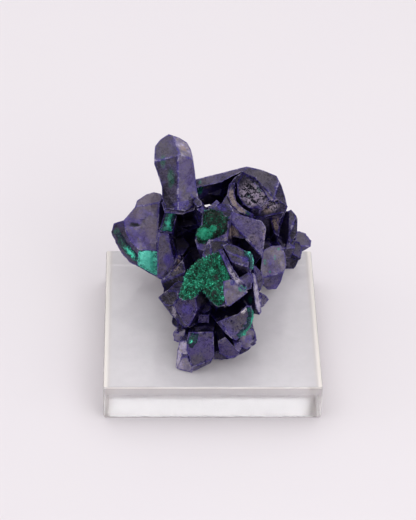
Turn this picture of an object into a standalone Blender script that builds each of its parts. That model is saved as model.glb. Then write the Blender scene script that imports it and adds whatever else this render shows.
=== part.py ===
"""Azurite crystal cluster with malachite crusts, standing on a clear acrylic display square.

Metres, +Z up. The origin is the middle of the display square's underside, and -Y is its front.
Run with: blender --background --python part.py
"""

import math

import bmesh
import bpy
from mathutils import Matrix, Vector

MM = 0.001

# The display square: two inches each way and three eighths thick, with its edges just broken.
BASE_SIDE = 50.8 * MM
BASE_THICK = 9.525 * MM
BASE_BREAK = 0.35 * MM

# The specimen rests on the square, and each crust lies on its crystals, with this gap between them.
GAP = 0.3 * MM

# The heart of the specimen, in world millimetres. Every crystal is laid out from it.
HEART = Vector((-1.0, 1.0, 26.0))

AZURITE = ("azurite", (0.018, 0.012, 0.085), 0.28)
MALACHITE = ("malachite", (0.02, 0.26, 0.13), 0.6)
ACRYLIC = ("clear_acrylic", (0.95, 0.95, 0.95), 0.05)


class Side:
    """One side of the specimen as an eye sees it: millimetres across, up and out from the heart."""

    def __init__(self, turn, tilt, roll, root):
        turn, tilt, roll = (math.radians(angle) for angle in (turn, tilt, roll))
        ahead = Vector((math.sin(turn) * math.cos(tilt), math.cos(turn) * math.cos(tilt), -math.sin(tilt)))
        level = Vector((math.cos(turn), -math.sin(turn), 0.0))
        rolled = Matrix.Rotation(-roll, 3, ahead)
        self.across, self.up, self.out = rolled @ level, rolled @ level.cross(ahead), -ahead
        self.root = root

    def at(self, across, up, out):
        return (HEART + self.across * across + self.up * up + self.out * out) * MM


# A visitor looks down on the show side. The other sides are seen level, or nearly so.
SHOW = Side(1.9, 38.6, 1.3, (3.0, 0.0, -14.0))
BACK = Side(180.0, 10.0, 0.0, (0.0, -8.0, 11.0))
LEFT = Side(90.0, 8.0, 0.0, (-2.0, -8.0, -1.0))
RIGHT = Side(-90.0, 8.0, 0.0, (2.0, -8.0, -1.0))

# The roots that the groups of crystals spread from, on the show side.
ROSETTE_ROOT = (1.5, -7.0, -4.0)
CENTRE_ROOT = (4.0, 4.0, -12.0)
LEFT_ROOT = (-9.0, 4.0, -19.0)
CROWN_ROOT = (8.0, 10.0, -20.0)
RIGHT_ROOT = (13.0, 2.0, -26.0)


class Facet:
    """A flat face: a point that it passes through, and how many degrees it turns right and up."""

    def __init__(self, side, across, up, out, turns):
        self.side, self.across, self.up, self.out = side, across, up, out
        self.fall = [math.tan(math.radians(turn)) for turn in turns]
        self.normal = (side.out + side.across * self.fall[0] + side.up * self.fall[1]).normalized()

    def depth(self, across, up):
        return self.out - self.fall[0] * (across - self.across) - self.fall[1] * (up - self.up)

    def at(self, across, up, lift=0.0):
        return self.side.at(across, up, self.depth(across, up)) + self.normal * lift * MM


def clear_scene():
    for old in list(bpy.data.objects):
        bpy.data.objects.remove(old, do_unlink=True)


def collection(name):
    made = bpy.data.collections.new(name)
    bpy.context.scene.collection.children.link(made)
    return made


def material(recipe):
    name, colour, roughness = recipe
    found = bpy.data.materials.get(name)
    if found:
        return found
    made = bpy.data.materials.new(name)
    made.use_nodes = True
    shader = made.node_tree.nodes["Principled BSDF"]
    shader.inputs["Base Color"].default_value = (*colour, 1.0)
    shader.inputs["Roughness"].default_value = roughness
    shader.inputs["Metallic"].default_value = 0.0
    return made


def add_object(name, bm, where, recipe):
    """Turns the working mesh into an object of this name, with its own material."""
    mesh = bpy.data.meshes.new(name)
    bmesh.ops.recalc_face_normals(bm, faces=bm.faces)
    bm.to_mesh(mesh)
    bm.free()
    made = bpy.data.objects.new(name, mesh)
    made.data.materials.append(material(recipe))
    where.objects.link(made)
    return made


def add_helper(name, bm, where):
    """A shape that is only joined to a piece or cut from it, and isn't one itself."""
    made = add_object(name, bm, where, AZURITE)
    made.hide_render = True
    made.display_type = "WIRE"
    return made


def chop(bm, point, normal):
    """Takes off all that lies past a plane, and closes the cut with one flat face."""
    everything = bm.verts[:] + bm.edges[:] + bm.faces[:]
    cut = bmesh.ops.bisect_plane(bm, geom=everything, plane_co=point, plane_no=normal, clear_outer=True)
    rim = [e for e in cut["geom_cut"] if isinstance(e, bmesh.types.BMEdge)]
    if rim:
        bmesh.ops.edgeloop_fill(bm, edges=rim)


def extrude_end(bm, end, move):
    """Pulls one face out into a stub, and puts each new corner where move sends it. Returns the new face."""
    inside = all(len(edge.link_faces) > 1 for edge in end.edges)
    grown = bmesh.ops.extrude_face_region(bm, geom=[end])["geom"]
    for v in (g for g in grown if isinstance(g, bmesh.types.BMVert)):
        v.co = move(v.co)
    if inside:
        bmesh.ops.delete(bm, geom=[end], context="FACES_ONLY")
    return next(g for g in grown if isinstance(g, bmesh.types.BMFace))


def block(name, outline, out, turns, root=None, reach=0.8, flare=1.2, sleeve=0.0, cuts=(), side=SHOW):
    """A crystal led by the flat face at its end. Returns that face and its bevels.

    The outline is that face as the eye sees it. The body runs straight back for the sleeve, then reach of
    the way to its root, and widens by flare. Each of cuts bevels the end: a point on the face that the
    bevel starts at, and how many degrees the bevel turns right and up of the eye.
    """
    middle_a = sum(a for a, _ in outline) / len(outline)
    middle_b = sum(b for _, b in outline) / len(outline)
    face = Facet(side, middle_a, middle_b, out, turns)
    bm = bmesh.new()
    end = bm.faces.new([bm.verts.new(face.at(a, b)) for a, b in outline])
    middle = face.at(middle_a, middle_b)
    if sleeve:
        end = extrude_end(bm, end, lambda p: p - side.out * sleeve * MM)
        middle = middle - side.out * sleeve * MM
    tail = middle.lerp(side.at(*(root or side.root)), reach)
    extrude_end(bm, end, lambda p: tail + (p - middle) * flare)
    bmesh.ops.recalc_face_normals(bm, faces=bm.faces)
    bevels = [Facet(side, a, b, face.depth(a, b), (right, upward)) for a, b, right, upward in cuts]
    for bevel in bevels:
        chop(bm, bevel.at(bevel.across, bevel.up), bevel.normal)
    add_helper(name, bm, CRYSTALS)
    return [face, *bevels]


def trim(crystal, side, facets):
    """Bevels a crystal on another side: across, up and out as seen from there, and the two turns."""
    bm = bmesh.new()
    bm.from_mesh(crystal.data)
    for across, up, out, right, upward in facets:
        bevel = Facet(side, across, up, out, (right, upward))
        chop(bm, bevel.at(across, up), bevel.normal)
    bmesh.ops.recalc_face_normals(bm, faces=bm.faces)
    bm.to_mesh(crystal.data)
    bm.free()


def hexagon(across, up, width, height, turn=0.0, skew=0.12):
    """The six-sided outline of a plain crystal: two long sides, and a lopsided roof at each end."""
    corners = [(0.5, 0.24), (skew, 0.5), (-0.5, 0.3), (-0.46, -0.26), (-skew, -0.5), (0.5, -0.2)]
    angle = math.radians(turn)
    cos, sin = math.cos(angle), math.sin(angle)
    sized = [(a * width, b * height) for a, b in corners]
    return [(across + a * cos - b * sin, up + a * sin + b * cos) for a, b in sized]


def front_rosette():
    """The sharp rosette that leans out over the front: blocky crystals spreading from one root."""
    root = ROSETTE_ROOT
    apron = block("apron", [(-0.6, 0.7), (-2.3, -0.2), (-4.3, -2.2), (-5.1, -3.7), (-6.3, -7.1), (-6.5, -8.8),
                            (-5.3, -9.4), (-2.5, -8.5), (-1.6, -6.2), (0.8, -3.0), (1.6, 0.6)],
                  13.0, (-20, 10), root, sleeve=3.0)
    breast = block("breast", [(2.6, 2.2), (-0.6, 0.7), (-1.3, -5.4), (-0.5, -7.8), (0.5, -9.3), (2.1, -10.7),
                              (3.9, -10.5), (4.3, -7.1), (5.4, -3.9), (4.5, -1.0)],
                   13.8, (-2, 8), root, sleeve=3.6)
    block("bright_facet", [(3.5, -4.9), (3.6, -7.6), (4.1, -10.3), (5.0, -10.6), (7.3, -8.9), (9.2, -7.4),
                           (9.0, -6.8), (5.4, -4.4)], 14.6, (12, -2), root)
    block("lilac_ridge", [(2.5, 2.3), (3.9, -0.7), (5.0, -3.4), (6.2, -5.2), (8.8, -7.2), (9.1, -6.3),
                          (7.1, -3.8), (5.7, -1.5), (3.4, 2.6)], 14.2, (26, 18), root)
    shoulder = block("shoulder", [(3.4, 3.5), (5.4, -0.6), (6.6, -4.0), (7.7, -4.2), (9.8, -3.0), (10.3, -1.9),
                                  (10.4, -0.4), (9.9, 0.9), (8.6, 2.2), (6.6, 3.3), (4.6, 3.8)],
                     12.4, (6, -4), root, sleeve=3.0,
                     cuts=[(7.4, 0.8, 26, 40), (9.3, -1.6, 52, -6), (7.0, -0.9, -8, -40)])
    block("knob", [(0.2, 4.9), (-1.2, 2.1), (-0.6, 0.7), (3.3, 2.4), (4.9, 3.7), (3.8, 4.5), (1.4, 4.7)],
          10.4, (-6, 34), root, cuts=[(0.6, 3.2, -40, 30)])
    block("cheek", [(7.6, -3.9), (6.9, -4.4), (8.8, -6.9), (10.0, -6.6), (10.5, -4.6), (10.1, -2.4)],
          11.4, (34, 2), root)
    block("ear", [(10.6, -1.2), (11.3, -5.9), (12.2, -7.2), (12.9, -6.0), (13.1, -4.6), (12.6, -2.8),
                  (11.3, -1.4)], 5.0, (38, 6), root, reach=0.6)
    block("rim_blade", [(10.3, -2.9), (10.5, -6.1), (10.9, -9.4), (11.2, -11.2), (12.0, -12.7), (12.5, -12.0),
                        (12.2, -9.4), (11.7, -6.1), (10.9, -3.2)], 9.4, (18, 0), root, reach=0.6, flare=1.0)
    block("upper_blade", [(8.2, 5.7), (9.4, 3.3), (10.4, 1.1), (11.0, 1.4), (10.0, 3.7), (8.8, 5.6)],
          7.0, (20, 30), root, reach=0.3, flare=0.7, sleeve=2.0)
    block("left_wing", [(-11.6, -8.6), (-9.8, -10.6), (-8.2, -10.7), (-6.9, -8.8), (-7.0, -7.2), (-9.5, -7.0)],
          6.6, (-30, 22), root, reach=0.6)
    block("wing_flank", [(-11.6, -8.8), (-8.4, -13.0), (-5.6, -15.7), (-4.2, -15.7), (-5.0, -14.6),
                         (-8.0, -10.4), (-9.8, -10.0)], 6.8, (-34, -18), root, reach=0.6)
    block("belly", [(-8.1, -10.4), (-5.4, -14.8), (-4.3, -15.4), (-3.5, -13.9), (-2.5, -11.6), (-2.8, -8.6),
                    (-5.3, -9.3), (-6.8, -8.6)], 10.2, (-12, -20), root)
    block("pit_crystal", [(-2.2, -10.4), (-2.2, -11.8), (-0.8, -12.4), (0.7, -11.6), (0.7, -10.5),
                          (-0.9, -9.7)], 6.4, (-8, 14), root)
    block("pit_step", [(-2.1, -12.7), (-2.4, -14.6), (0.2, -14.7), (0.3, -12.7)], 7.0, (0, -8), root)
    cheek = block("lower_cheek", [(2.0, -14.3), (3.9, -16.8), (5.3, -18.0), (6.5, -18.6), (7.4, -17.7),
                                  (9.7, -15.2), (10.5, -12.7), (10.1, -10.6), (9.0, -10.4), (6.9, -12.4),
                                  (3.9, -13.4)], 11.8, (8, -10), root, sleeve=4.0,
                  cuts=[(4.0, -16.0, -30, -30), (9.4, -13.6, 38, -26)])
    block("heel", [(7.4, -17.8), (7.6, -20.2), (9.1, -20.8), (10.0, -20.1), (11.5, -18.7), (10.9, -16.3),
                   (9.1, -15.6)], 7.4, (26, -20), root, reach=0.6)
    block("chin", [(2.3, -18.8), (2.6, -21.6), (5.1, -22.9), (7.0, -22.2), (7.6, -20.6), (6.0, -19.9),
                   (4.0, -17.8)], 8.0, (0, -24), root, reach=0.6, sleeve=2.0)
    block("chin_tooth", [(6.1, -19.5), (6.4, -20.7), (7.3, -21.4), (8.1, -19.8), (7.5, -19.0)],
          8.8, (8, 2), root, reach=0.6)
    block("keel", [(1.3, -21.4), (1.3, -23.3), (3.3, -23.4), (5.8, -23.1), (9.1, -21.3), (11.3, -19.4),
                   (11.0, -18.4), (7.5, -20.8), (5.1, -21.8), (2.8, -21.0)], 5.6, (0, -32), root, reach=0.6)
    foot = block("front_foot", [(-4.5, -16.7), (-4.9, -18.9), (-5.0, -20.9), (-4.4, -22.3), (-3.7, -26.1),
                                (0.7, -23.9), (1.5, -22.0), (1.3, -16.5)], 8.8, (-2, -8), root, reach=0.7,
                 flare=1.05, sleeve=3.0, cuts=[(0.2, -23.4, 20, -50)])
    block("foot_flank", [(-6.6, -18.8), (-7.2, -21.2), (-7.6, -26.1), (-6.3, -22.8), (-4.6, -22.2),
                         (-4.7, -18.8)], 6.8, (-42, 0), root, reach=0.6, flare=1.0)
    block("foot_tip", [(-6.4, -22.8), (-7.7, -26.3), (-5.7, -27.2), (-3.6, -26.4), (-3.8, -24.6),
                       (-4.8, -22.2)], 7.0, (-20, -24), root, reach=0.6, flare=1.0)
    block("lilac_knob", [(-7.0, -15.2), (-8.2, -17.1), (-8.0, -18.8), (-7.0, -19.2), (-5.2, -18.9),
                         (-5.4, -16.2)], 5.6, (-16, 6), root, reach=0.6)
    block("dark_knob", [(-8.6, -13.7), (-8.4, -15.0), (-7.5, -15.9), (-6.6, -14.8), (-7.7, -13.2)],
          2.8, (-30, 0), root, reach=0.6)
    block("side_spur", [(12.4, -7.5), (12.3, -11.3), (13.2, -10.9), (14.4, -9.2), (13.6, -8.2)],
          1.0, (26, 0), root, reach=0.6)
    return apron[0], breast[0], foot[0], cheek[2], shoulder[2]


def centre_pair():
    """The two broad crystals behind the rosette: one clean and one that malachite has eaten into."""
    block("broad_face", [(4.6, 11.1), (4.0, 6.6), (5.2, 5.6), (8.6, 5.0), (10.8, 2.6), (12.6, 0.4), (13.2, 3.5),
                         (13.7, 7.6), (12.7, 9.2), (9.9, 10.0), (5.4, 11.5)], 2.0, (6, 8), CENTRE_ROOT,
          sleeve=4.0, cuts=[(6.4, 8.0, -22, -18)])
    eaten = block("eaten_face", [(2.8, 13.6), (1.4, 12.7), (-0.5, 11.7), (-1.4, 10.5), (-1.6, 8.0), (-2.6, 6.6),
                                 (-3.0, 4.7), (-2.4, 2.6), (-0.2, 2.0), (1.9, 3.1), (4.6, 4.8), (5.0, 9.6),
                                 (5.7, 11.7), (4.7, 13.5)], 3.4, (-10, 12), CENTRE_ROOT,
                  cuts=[(2.6, 11.2, 14, 44)])
    block("pale_sliver", [(0.0, 12.3), (0.9, 11.7), (2.8, 13.5), (2.1, 14.3)], 1.4, (-10, 40), CENTRE_ROOT,
          reach=0.4, flare=1.0)
    block("shard_a", [(-3.6, 13.8), (-2.5, 12.5), (-1.4, 13.0), (-1.6, 14.2), (-2.8, 15.0)], -1.5, (-20, 30),
          CENTRE_ROOT, reach=0.6)
    block("shard_b", [(-2.6, 12.0), (-1.3, 11.0), (-0.5, 11.8), (-1.2, 12.8)], 0.0, (10, 30), CENTRE_ROOT,
          reach=0.6)
    return eaten[0]


def crown():
    """The big block at the upper right, broken off in front, and the bar that runs from it to the spire."""
    root = CROWN_ROOT
    block("bar", [(-3.6, 19.4), (-3.4, 17.2), (1.0, 18.2), (3.4, 18.8), (5.8, 20.2), (8.7, 21.4), (9.2, 22.6),
                  (6.3, 21.9), (2.9, 21.0)], -13.0, (-4, 30), (2.0, 13.0, -21.0), reach=0.7, flare=0.8, sleeve=2.0)
    block("roof", [(9.2, 22.6), (8.4, 21.0), (10.6, 19.5), (13.0, 17.1), (14.9, 14.2), (19.2, 12.8),
                   (18.7, 15.2), (17.8, 18.0), (16.6, 20.3), (13.0, 21.8)], -11.0, (14, 26), root, sleeve=3.0,
          cuts=[(16.6, 17.0, 46, 14)])
    block("broken_end", [(7.9, 20.0), (7.1, 18.6), (7.1, 15.8), (8.4, 13.4), (10.5, 12.2), (12.9, 12.9),
                         (14.9, 14.4), (12.9, 16.9), (10.7, 19.3), (8.8, 20.9)], -8.0, (-10, -4), root, flare=1.05)
    block("broken_rim", [(8.4, 21.2), (6.5, 19.9), (5.0, 18.0), (5.6, 13.9), (7.7, 11.7), (10.5, 10.3),
                         (13.0, 10.2), (16.0, 10.9), (18.7, 11.4), (19.2, 12.9), (15.3, 15.8), (11.5, 19.8)],
          -10.6, (-6, -4), root, sleeve=5.0)
    block("curved_ledge", [(5.2, 18.4), (4.6, 15.6), (5.8, 12.8), (7.8, 11.2), (10.6, 10.0), (11.0, 10.9),
                           (8.6, 12.3), (7.0, 13.9), (6.4, 15.8), (6.6, 18.6)], -8.4, (-16, 4), root, flare=1.0,
          sleeve=3.0)


def right_cluster():
    """The blunt crystals low at the back right, which stand on the base."""
    root = RIGHT_ROOT
    block("right_horn", [(18.4, 11.6), (18.6, 6.4), (21.2, 5.2), (22.8, 7.0), (22.3, 10.3), (20.4, 12.4)],
          -20.0, (16, 22), root, cuts=[(20.8, 8.6, 44, 6)])
    block("right_end", [(21.9, 7.3), (21.4, 4.5), (22.6, 2.2), (24.1, 1.6), (25.3, 3.1), (25.5, 4.8),
                        (24.1, 6.6)], -23.0, (22, 6), root, cuts=[(23.6, 3.4, 20, -40)])
    block("right_low", [(20.6, 4.8), (20.8, 1.4), (22.7, 0.4), (23.3, 2.2), (22.8, 4.4)], -21.5, (4, -10), root)
    block("right_foot", [(18.4, 3.3), (18.4, -0.5), (19.1, -2.2), (21.2, -2.2), (22.9, 0.5), (22.4, 2.6),
                         (20.7, 4.7)], -22.5, (6, -14), root)
    block("thin_plate", [(15.1, 10.1), (16.0, 6.6), (17.2, 5.7), (17.4, 8.0), (16.5, 10.1)],
          -14.0, (-20, 0), root, reach=0.6)
    block("spotted_face", [(13.2, 2.4), (12.7, -2.4), (13.4, -6.1), (14.8, -7.5), (16.9, -7.3), (17.5, -6.0),
                           (18.0, -4.2), (19.0, -1.2), (18.7, 1.6), (17.6, 3.6), (15.4, 3.4)], -13.0, (14, -2),
          root, sleeve=1.5, cuts=[(16.6, -3.4, 24, -38)])
    block("gap_stub", [(15.3, 5.6), (14.9, 3.2), (17.4, 3.4), (18.6, 5.0), (17.2, 6.0)], -22.0, (10, 20), root)
    block("gap_wall", [(12.6, 12.6), (12.8, 4.0), (16.4, 2.6), (19.6, 5.0), (19.8, 11.6), (16.4, 13.2)],
          -20.0, (-48, -16), root, reach=0.5)


def left_group():
    """The broad plates at the left, with malachite along their lower edge."""
    root = LEFT_ROOT
    block("left_plate", [(-14.8, 15.9), (-17.1, 14.4), (-17.6, 12.7), (-20.3, 9.6), (-19.8, 6.8), (-18.6, 4.5),
                         (-16.7, 2.4), (-11.9, 2.1), (-11.8, 7.1), (-9.9, 10.4), (-9.9, 13.9), (-11.3, 16.0),
                         (-13.0, 16.4)], -10.5, (-8, 8), root, flare=1.0, sleeve=2.0,
          cuts=[(-14.2, 13.4, -12, 30), (-11.8, 10.0, 30, 6)])
    bevel = block("left_bevel", [(-22.7, 8.9), (-23.5, 6.9), (-22.8, 5.2), (-20.9, 1.7), (-18.9, -0.6),
                                 (-16.7, -1.6), (-16.5, 2.1), (-18.1, 4.0), (-19.6, 6.8), (-20.3, 9.6)],
                  -12.0, (-30, -8), root, flare=1.0)
    foot = block("left_foot", [(-16.9, 2.2), (-16.9, -1.4), (-14.4, -3.0), (-12.3, -4.2), (-12.2, 1.8),
                               (-13.9, 2.5)], -10.6, (-6, -18), root, flare=1.0)
    block("inner_slab", [(-11.7, 7.3), (-12.1, 3.5), (-12.1, -4.2), (-10.6, -4.9), (-8.1, -2.6), (-6.7, 0.2),
                         (-7.9, 3.3), (-8.6, 6.6), (-10.2, 7.9)], -6.5, (-8, -4), root, flare=1.0, sleeve=1.5,
          cuts=[(-8.6, 2.0, 34, 6)])
    block("slab_blade", [(-7.3, 0.6), (-9.4, -3.8), (-8.5, -3.8), (-6.5, -1.4), (-6.3, 0.6)],
          -4.6, (30, 10), root, reach=0.6, flare=1.0)
    block("olive_block", [(-11.2, -4.9), (-10.2, -7.6), (-6.0, -8.4), (-5.4, -2.4), (-6.4, -0.5), (-8.6, -2.8)],
          -3.0, (-2, -10), (-6.0, -2.0, -16.0), cuts=[(-8.0, -4.0, -20, 30)])
    notch = block("notch_knob", [(-10.1, 11.8), (-11.6, 7.0), (-8.2, 6.4), (-7.4, 10.8), (-8.5, 12.4)],
                  -5.4, (6, -6), root)
    return bevel[0], foot[0], notch[0]


def spire():
    """The tall prism that stands above the rest, with a low roof of three facets."""
    block("spire", [(-12.6, 27.0), (-12.7, 22.7), (-12.0, 20.8), (-10.9, 17.4), (-10.8, 14.6), (-10.0, 12.2),
                    (-5.4, 11.6), (-2.0, 13.4), (-2.6, 17.0), (-3.0, 20.6), (-3.5, 24.2), (-4.0, 26.4),
                    (-4.9, 28.0), (-6.8, 29.2), (-9.3, 30.0), (-11.2, 28.8)], -1.4, (-6, -4),
          (-5.5, 2.0, -12.0), reach=0.45, flare=0.9, sleeve=9.0,
          cuts=[(-7.6, 24.6, -16, 34), (-7.2, 25.4, 40, 46), (-7.0, 22.0, 22, -4)])
    trim(CRYSTALS.objects["spire"], BACK, [(7.2, 5.4, 21.9, 24, -48), (8.4, 5.4, 21.9, -22, -50)])
    block("spire_base", [(-11.0, 13.6), (-10.2, 11.2), (-6.0, 10.8), (-3.2, 11.8), (-2.4, 14.0), (-4.5, 16.0),
                         (-8.5, 16.2)], -3.2, (4, -10), (-6.0, 10.0, -18.0), flare=0.8, sleeve=5.0)


def hidden_sides():
    """The crystals that the show side hides: plain blocks that close the back and both ends."""
    back = ((-17.5, -13.5, 8.0, 7.0, 19.5, -30, -6, 10), (-9.5, -9.0, 11.0, 14.0, 21.5, -10, -4, -14),
            (-1.0, -9.5, 10.0, 14.0, 21.0, 4, -8, 20), (7.5, -9.5, 10.0, 13.0, 19.5, 8, -8, -24),
            (14.5, -9.5, 8.0, 11.0, 16.5, 28, -6, 14), (-13.5, -1.5, 8.0, 9.0, 22.5, -12, 14, 36),
            (-5.0, -6.5, 8.0, 8.0, 23.0, 6, 16, -30), (3.0, -7.0, 8.0, 8.0, 21.5, 8, 14, 12),
            (10.5, -7.0, 7.0, 7.0, 18.5, 18, 10, -50), (-5.5, -5.0, 4.5, 6.5, 23.2, -8, 6, 40),
            (3.5, -5.5, 4.5, 6.5, 22.0, 10, -4, -36), (-14.5, -12.0, 6.0, 7.0, 21.5, -14, -20, 64),
            (-9.5, 1.5, 7.0, 7.5, 24.2, 4, 6, 10), (-14.5, 0.0, 7.0, 8.0, 23.5, -18, 2, -22),
            (-2.0, -13.5, 6.0, 6.0, 22.0, 8, -22, 80))
    high = ((-14.5, -2.5, 6.0, 8.0, 25.0, -14, 10, 24), (-8.5, -1.5, 7.0, 9.0, 25.8, 8, 18, -20),
            (-2.5, -3.5, 6.5, 7.0, 25.6, -10, 16, 34), (3.5, -4.5, 6.5, 7.0, 24.6, 12, 10, -20))
    faces = []
    for index, (across, up, width, height, out, right, upward, turn) in enumerate(back + high):
        cuts = [(across + width * 0.12, up + height * 0.16, right + 22, upward + 24)]
        reach, sleeve = (0.5, 2.5) if index < len(back) else (0.12, 1.0)
        made = block(f"back_{index}", hexagon(across, up, width, height, turn), out, (right, upward),
                     reach=reach, flare=0.85, sleeve=sleeve, cuts=cuts, side=BACK)
        faces.append(made[0])
    ends = ((LEFT, -14.0, -10.0, 8.0, 9.5, 13.5, 6, -6, 20), (LEFT, -18.0, -9.0, 7.0, 10.0, 11.0, -24, 4, -30),
            (LEFT, -8.5, -10.5, 7.0, 9.0, 9.5, 16, -12, 50), (LEFT, -2.5, -11.0, 7.5, 9.0, 8.6, -6, -8, -16),
            (LEFT, 4.0, -11.0, 7.5, 8.5, 6.6, 4, -12, 24), (LEFT, 11.0, -10.5, 6.5, 8.0, 5.2, -12, -10, -36),
            (RIGHT, -12.0, -10.0, 7.0, 8.0, 7.0, 10, -12, 30),
            (RIGHT, -5.5, -10.5, 7.5, 9.5, 8.6, -6, -6, -20), (RIGHT, 1.5, -10.5, 7.5, 9.5, 9.4, 8, -10, 16),
            (RIGHT, 8.5, -10.0, 7.5, 10.0, 10.2, -8, -4, -30), (RIGHT, -2.5, -4.0, 6.5, 7.5, 8.6, 6, 12, 46),
            (RIGHT, 5.0, -3.5, 6.5, 8.0, 9.4, -10, 10, -10))
    for index, (side, across, up, width, height, out, right, upward, turn) in enumerate(ends):
        cuts = [(across - width * 0.1, up + height * 0.14, right - 20, upward + 26)]
        block(f"end_{index}", hexagon(across, up, width, height, turn), out, (right, upward), reach=0.5,
              flare=0.85, sleeve=1.5, cuts=cuts, side=side)
    return faces


def core():
    """The intergrown mass that every group grows from, seen only at the bottom of the dark hollows."""
    for name, size, middle in (("core_middle", (18, 12, 7), (1, 7, 13.5)), ("core_back", (22, 7, 8), (2, 14, 14)),
                               ("core_front", (7, 14, 7), (2, -3, 16))):
        bm = bmesh.new()
        bmesh.ops.create_cube(bm, size=1.0)
        bmesh.ops.scale(bm, vec=Vector(size) * MM, verts=bm.verts)
        bmesh.ops.rotate(bm, matrix=Matrix.Rotation(math.radians(14), 3, "Z"), verts=bm.verts)
        bmesh.ops.translate(bm, vec=Vector(middle) * MM, verts=bm.verts)
        add_helper(name, bm, CRYSTALS)


def grow_together(name):
    """Joins every crystal into one solid, and takes off what would sink into the base."""
    seed = bmesh.new()
    bmesh.ops.create_cube(seed, size=4 * MM)
    bmesh.ops.translate(seed, vec=(HEART + Vector((1.7, 8.3, -8.6))) * MM, verts=seed.verts)
    made = add_object(name, seed, SPECIMEN, AZURITE)
    union = made.modifiers.new("grown together", "BOOLEAN")
    union.operation = "UNION"
    union.operand_type = "COLLECTION"
    union.collection = CRYSTALS
    union.solver = "EXACT"
    slab = bmesh.new()
    bmesh.ops.create_cube(slab, size=1.0)
    bmesh.ops.scale(slab, vec=(0.2, 0.2, (BASE_THICK + GAP) * 2), verts=slab.verts)
    level = made.modifiers.new("level with the base", "BOOLEAN")
    level.operation = "DIFFERENCE"
    level.object = add_helper("below_the_base_top", slab, CUTTERS)
    level.solver = "EXACT"
    return settle(made)


def settle(made):
    """Gives a piece the mesh that its modifiers make: its largest shell, with no sealed hollows or crumbs."""
    mesh = bpy.data.meshes.new_from_object(made.evaluated_get(bpy.context.evaluated_depsgraph_get()))
    made.modifiers.clear()
    made.data = mesh
    bm = bmesh.new()
    bm.from_mesh(mesh)
    unseen, shells = set(bm.verts), []
    while unseen:
        shell = [unseen.pop()]
        for v in shell:
            joined = {edge.other_vert(v) for edge in v.link_edges} & unseen
            unseen -= joined
            shell.extend(joined)
        shells.append(shell)
    shells.sort(key=lambda shell: sum(high - low for low, high in bounds([v.co for v in shell])))
    bmesh.ops.delete(bm, geom=[v for shell in shells[:-1] for v in shell], context="VERTS")
    bm.to_mesh(mesh)
    bm.free()
    return made


def bounds(points):
    return [(min(p[i] for p in points), max(p[i] for p in points)) for i in range(3)]


def swollen(crystal):
    """A copy of a crystal that stands proud of it by the gap on every face."""
    found = CUTTERS.objects.get("swollen_" + crystal.name)
    if found:
        return found
    bm = bmesh.new()
    bm.from_mesh(crystal.data)
    bm.normal_update()
    moved = [(v, v.co + v.normal * GAP * min(v.calc_shell_factor(), 3.0)) for v in bm.verts]
    for v, target in moved:
        v.co = target
    return add_helper("swollen_" + crystal.name, bm, CUTTERS)


def crust(name, plates):
    """A malachite skin: each plate is an outline on a crystal's face and a thickness, fitted to its bed."""
    shapes = []
    for face, outline, thick in plates:
        middle = sum((face.at(a, b, thick) for a, b in outline), Vector()) / len(outline)
        bm = bmesh.new()
        end = bm.faces.new([bm.verts.new(face.at(a, b, -0.8)) for a, b in outline])
        end = extrude_end(bm, end, lambda p: p + face.normal * (0.8 + thick * 0.5) * MM)
        extrude_end(bm, end, lambda p: (p + face.normal * thick * 0.5 * MM).lerp(middle, 0.14))
        shapes.append(bm)
    extent = bounds([v.co for bm in shapes for v in bm.verts])
    made = add_object(name, shapes[0], SPECIMEN, MALACHITE)
    if len(shapes) > 1:
        more = collection(name + "_plates")
        for number, bm in enumerate(shapes[1:]):
            add_helper(f"{name}_plate_{number}", bm, more)
        union = made.modifiers.new("one crust", "BOOLEAN")
        union.operation = "UNION"
        union.operand_type = "COLLECTION"
        union.collection = more
    under = collection(name + "_bed")
    for crystal in list(CRYSTALS.objects):
        box = bounds([v.co for v in crystal.data.vertices])
        if all(low < high_b + GAP and low_b - GAP < high for (low, high), (low_b, high_b) in zip(extent, box)):
            under.objects.link(swollen(crystal))
    bed = made.modifiers.new("fitted to its crystals", "BOOLEAN")
    bed.operation = "DIFFERENCE"
    bed.operand_type = "COLLECTION"
    bed.collection = under
    return settle(made)


def display_base():
    """The clear square that the specimen stands on."""
    bm = bmesh.new()
    bmesh.ops.create_cube(bm, size=1.0)
    bmesh.ops.scale(bm, vec=(BASE_SIDE, BASE_SIDE, BASE_THICK), verts=bm.verts)
    bmesh.ops.translate(bm, vec=(0, 0, BASE_THICK / 2), verts=bm.verts)
    made = add_object("acrylic_base", bm, SPECIMEN, ACRYLIC)
    broken = made.modifiers.new("broken edges", "BEVEL")
    broken.width = BASE_BREAK
    broken.segments = 2
    return made


clear_scene()
SPECIMEN = collection("azurite_and_malachite_specimen")
CRYSTALS = collection("crystals_before_joining")
CUTTERS = collection("cutters")

apron, breast, front_foot, cheek_edge, shoulder_edge = front_rosette()
eaten_face = centre_pair()
crown()
right_cluster()
left_bevel, left_foot, notch_knob = left_group()
spire()
back_faces = hidden_sides()
core()
grow_together("azurite_crystals")

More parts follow.
